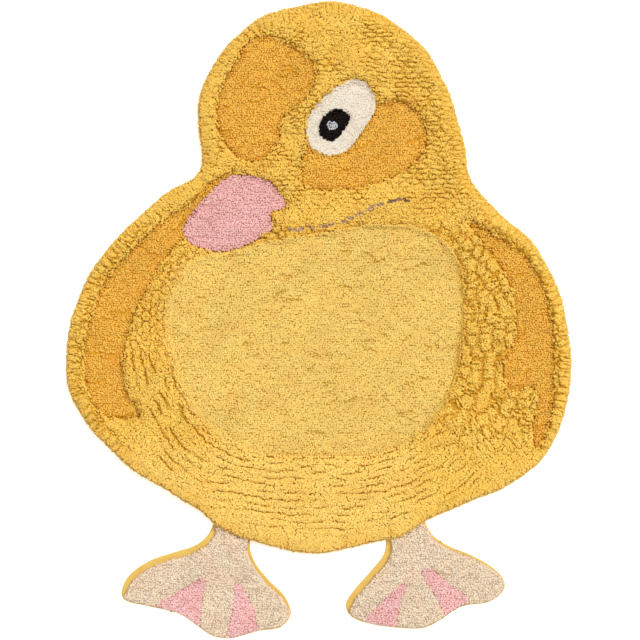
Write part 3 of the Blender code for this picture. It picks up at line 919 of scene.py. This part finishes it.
def lay_rim(pile):
    """Strands that stand out sideways from the rug's edge."""
    strands = []
    for level, inset, rise in RIM_ROWS:
        places = even(EDGE, RIM_PITCH)
        out = outward(soften(places, 5))
        count = len(places)
        line, pull = gathered(places - out * 5 * MM)
        along = np.stack([-out[:, 1], out[:, 0]], axis=1)
        side = PARTED / MM * np.sum(pull * along, axis=1) + RNG.normal(0, 0.4, count)
        back = inset + RNG.normal(0, 0.4, count) + 1.3 * line ** 2
        places = places + (along * side[:, None] - out * back[:, None]) * MM
        tips = np.column_stack([places, (level + RNG.normal(0, 0.4, count) - line) * MM])
        flat = out + along * (0.25 * side + RNG.normal(0, 0.12, count))[:, None]
        lean = unit(np.column_stack([flat, np.full(count, rise)]))
        # painted light: the edge's strands are a little lighter, with random tone
        shade = np.tile((1.02 + RNG.normal(0, 0.035, count))[:, None], (1, 3))
        radius = 1.9 * MM * RNG.uniform(0.85, 1.15, count)
        # painted shade: darker at the partings
        lightness_with_painted_shade = 1.0 - 0.5 * line ** 2
        strands.append((tips, lean, np.full(count, TUFT_LENGTH), radius, shade, lightness_with_painted_shade, along))
    *laid, grain = (np.concatenate(part) for part in zip(*strands))
    pile.tufts(*laid, "yellow", grain=grain)


def mouth_shade(points, colour):
    """Colours the lilac-grey row of tufts that draws the mouth, and returns how far each tuft sinks."""
    line = smooth_loop(MOUTH, 4 * MM, closed=False)
    gap, _, _ = nearest(points, line, closed=False)
    end = ease((points[:, 0] / MM - 95) / 14)
    dashes = 0.75 + 0.6 * soft_noise(points, 9 * MM, 31.0) + 0.5 * end
    chosen = RNG.random(len(points)) < dashes * ease(1.35 - gap / (3.0 * MM))
    tip = np.array(YARN_AND_PAINTED_SHADE["yellow"][0])
    paint = np.array(LILAC) / tip * RNG.uniform(0.85, 1.12, (len(points), 1)) * (1 - 0.4 * end)[:, None]
    colour[chosen] = paint[chosen]
    return np.where(chosen, (0.6 + 1.8 * end) * MM, 0.0)


def root_depth(points):
    """How far the root mass lies under the ground pile's tips."""
    spot = Spot(points)
    return (2.4 + 3.0 * spot.high + settled(points, spot)) * MM


def root_draw(points):
    """How far the root mass is drawn in from the solid's wall: only at the rug's edge."""
    return 2.4 * MM * ease(1.5 - Spot(points).rim / (8 * MM)) - 0.1 * MM


def keep(name, pile, node, yarn):
    """Builds a piece of the pile and notes what it stands for."""
    made.append((pile.build(name, MATERIALS[yarn]), node, yarn))


def tuft_pieces(pieces, laid, wide):
    """Builds the ground's tufts in pieces. pieces has which of the tufts go into each."""
    for name, mask in pieces.items():
        pile = Pile()
        pile.tufts(*(part[mask] for part in laid), "yellow", wide=wide)
        keep(name, pile, "ground_pile", "yellow")


def high_pile():
    """The ground's high pile: the head, and the two halves of the ring round the belly."""
    mask = found == 0
    points, tops = places[mask], heights[mask]
    spot = Spot(points)
    mask = (spot.high > 0.12) & (spot.rim > 2.6 * MM) & inside(points, EDGE)
    points, tops = points[mask], tops[mask]
    laid = lay_ground(points, tops)
    laid[0][:, 2] -= mouth_shade(points, laid[4])
    head, left = points[:, 1] >= HEAD_BORDER, points[:, 0] < 0.0
    tuft_pieces({
        "ground_tufts_head": head,
        "ground_tufts_ring_left": ~head & left,
        "ground_tufts_ring_right": ~head & ~left,
    }, laid, 1.0)


def belly():
    """The ground's low sheared belly, with a golden, darker painted shadow under the step on the light's
    side.
    """
    mask = low_found == 0
    points, tops = low_places[mask], low_heights[mask]
    mask = Spot(points).high <= 0.25
    points, tops = points[mask], tops[mask]
    spot = Spot(points)
    laid = lay_field(points, tops, CREASES["belly"], 0.2, BELLY_ROUGH)
    # painted shadow: within about 13 mm inside the step the tufts are darker and more golden, most on
    # the key light's side, less at the belly's top
    under = ease(1.0 + spot.beyond / (13 * MM))
    under = under * (0.3 + 0.7 * spot.shaded) * (1 - 0.7 * spot.belly_top)
    laid[5][:] *= 1.0 - 0.4 * under
    laid[4][:] *= 1.0 - under[:, None] * np.array([0.0, 0.05, 0.35])
    laid[4][:] *= np.array([0.96, 0.985, 0.975])
    mouth_shade(points, laid[4])
    upper = points[:, 1] >= BELLY_SPLIT
    tuft_pieces({"ground_tufts_belly_upper": upper, "ground_tufts_belly_lower": ~upper}, laid, LOW_WIDE)


def rim():
    """The strands of the rug's edge, and the root mass of the whole ground."""
    pile = Pile()
    lay_rim(pile)
    pile.roots("ground_pile", "yellow", root_depth, root_draw)
    keep("ground_tufts_rim", pile, "ground_pile", "yellow")


def hem_shows(points):
    """How far the feet's pile stays back from the cloth's edge at points: more at the upper left."""
    _, way, _ = nearest(points, CLOTH_EDGE)
    way = way / np.maximum(np.linalg.norm(way, axis=1), 1e-6)[:, None]
    ragged = soft_noise(points, 7 * MM, 33.0)
    more = ease((way @ np.array([-0.75, 0.66]) - 0.15) / 0.6)
    return (HEM_SHOWS[0] + (HEM_SHOWS[1] + 1.5 * ragged) * more) * MM


def foot_draw(points):
    """How far the root mass of a foot is drawn in."""
    gap, _, _ = nearest(points, CLOTH_EDGE)
    return np.maximum(hem_shows(points) - gap, 0.0) - 0.1 * MM


def recolour(node, points, colour):
    """Changes the colour factors of some fields: their tints, the pale dot in the pupil and the feet's
    flecks.
    """
    for word, tint in TINTS.items():
        if word in node:
            colour *= np.array(tint)
    if node == "pupil_pile":
        gap = np.linalg.norm(points - np.array(GLINT[:2]) * MM, axis=1)
        colour[gap < GLINT[2] * MM] = np.array(GLINT_COLOUR) / np.array(YARN_AND_PAINTED_SHADE["black"][0])
    if "foot" in node:
        colour[RNG.random(len(points)) < FLECKS[0]] *= np.array(FLECKS[1])


def low_field(node, yarn):
    """The tufts and root mass of a sheared field."""
    mask = low_found == NAMES.index(node)
    points = low_places[mask]
    rough = ROUGH.get(yarn, 1.0)
    draw = -0.1 * MM
    border = None if "web" in node else FIELD_LOOPS[list(FIELDS).index(node) - 1]
    if "foot" in node:
        kept = nearest(points, CLOTH_EDGE)[0] > hem_shows(points)
        mask[mask] = kept
        points = points[kept]
        draw = foot_draw
        border = None
    laid = lay_field(points, low_heights[mask], CREASES.get(node, FEW_CREASES), 0.3, rough, border)
    recolour(node, points, laid[4])
    pile = Pile()
    pile.tufts(*laid, yarn, wide=LOW_WIDE)
    pile.roots(node, yarn, (0.9 + 1.5 * rough) * MM, draw)
    keep(node.replace("_pile", "_tufts"), pile, node, yarn)


made = []
places = lattice(PITCH, 0.866 * PITCH, 0.27, 0.0)
low_places = lattice(*LOW_PITCH, 0.30, 0.35)
heights, found = drop(places)
low_heights, low_found = drop(low_places)
high_pile()
belly()
rim()
for node, yarn in list(FIELDS.items())[1:]:
    low_field(node, yarn)


# ---------------------------------------------------------------- the backing cloth

def build_backing():
    """The backing cloth with its turned, rounded hem."""
    out = outward(soften(CLOTH_EDGE, 2))
    count = len(CLOTH_EDGE)
    rings = [CLOTH_EDGE - out * inset * MM for inset, _ in HEM]
    co = [(x, y, z * MM) for ring, (_, z) in zip(rings, HEM) for x, y in ring.tolist()]
    faces = []
    for r in range(len(HEM) - 1):
        for k in range(count):
            n = (k + 1) % count
            faces.append((r * count + k, r * count + n, (r + 1) * count + n, (r + 1) * count + k))
    for ring, first, flip in ((rings[0], 0, True), (rings[-1], (len(HEM) - 1) * count, False)):
        flat = [Vector(point) for point in ring.tolist()]
        spots, _, cut, source, _, _ = delaunay_2d_cdt(flat, [], [list(range(count))], 1, 1e-7)
        number = []
        for spot, origins in zip(spots, source):
            number.append(first + origins[0] if origins else len(co))
            if not origins:
                co.append((spot.x, spot.y, co[first][2]))
        faces += [tuple(number[i] for i in (f[::-1] if flip else f)) for f in cut]
    mesh = bpy.data.meshes.new("backing")
    mesh.from_pydata(co, [], faces)
    for polygon in mesh.polygons:
        polygon.use_smooth = True
    mesh.materials.append(cloth_material())
    thing = bpy.data.objects.new("backing", mesh)
    bpy.context.scene.collection.objects.link(thing)
    return thing


backing = build_backing()
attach(backing, "root")
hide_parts("backing_cloth")
for thing, node, yarn in made:
    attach(thing, "root")
    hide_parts(node)


# ---------------------------------------------------------------- floor, light and camera

def build_floor():
    """A plain pale floor."""
    half = FLOOR_SIZE / 2
    mesh = bpy.data.meshes.new("floor")
    corners = [(-half, -half, 0), (half, -half, 0), (half, half, 0), (-half, half, 0)]
    mesh.from_pydata(corners, [], [(0, 1, 2, 3)])
    floor = bpy.data.objects.new("floor", mesh)
    bpy.context.scene.collection.objects.link(floor)
    material, _, shader = node_material("floor")
    set_inputs(
        shader, Base_Color=FLOOR_COLOUR, Roughness=0.9,
        Emission_Color=(1, 1, 1, 1), Emission_Strength=FLOOR_GLOW,
    )
    mesh.materials.append(material)


def build_stage():
    """The floor, soft studio light from the upper right, and the camera straight above."""
    scene = bpy.context.scene
    build_floor()
    world = bpy.data.worlds.new("studio")
    world.use_nodes = True
    colour, strength = WORLD
    set_inputs(world.node_tree.nodes["Background"], Color=colour, Strength=strength)
    scene.world = world
    for name, (energy, angle, direction) in LIGHTS.items():
        sun = bpy.data.lights.new(name, "SUN")
        sun.energy = energy
        sun.angle = math.radians(angle)
        light = bpy.data.objects.new(name, sun)
        light.rotation_euler = Vector(direction).to_track_quat("-Z", "Y").to_euler()
        scene.collection.objects.link(light)
    lens = bpy.data.cameras.new("camera")
    lens.lens = 100
    lens.sensor_width = 36
    camera = bpy.data.objects.new("camera", lens)
    camera.location = CAMERA_PLACE
    scene.collection.objects.link(camera)
    scene.camera = camera
    scene.view_settings.view_transform = "Standard"


build_stage()
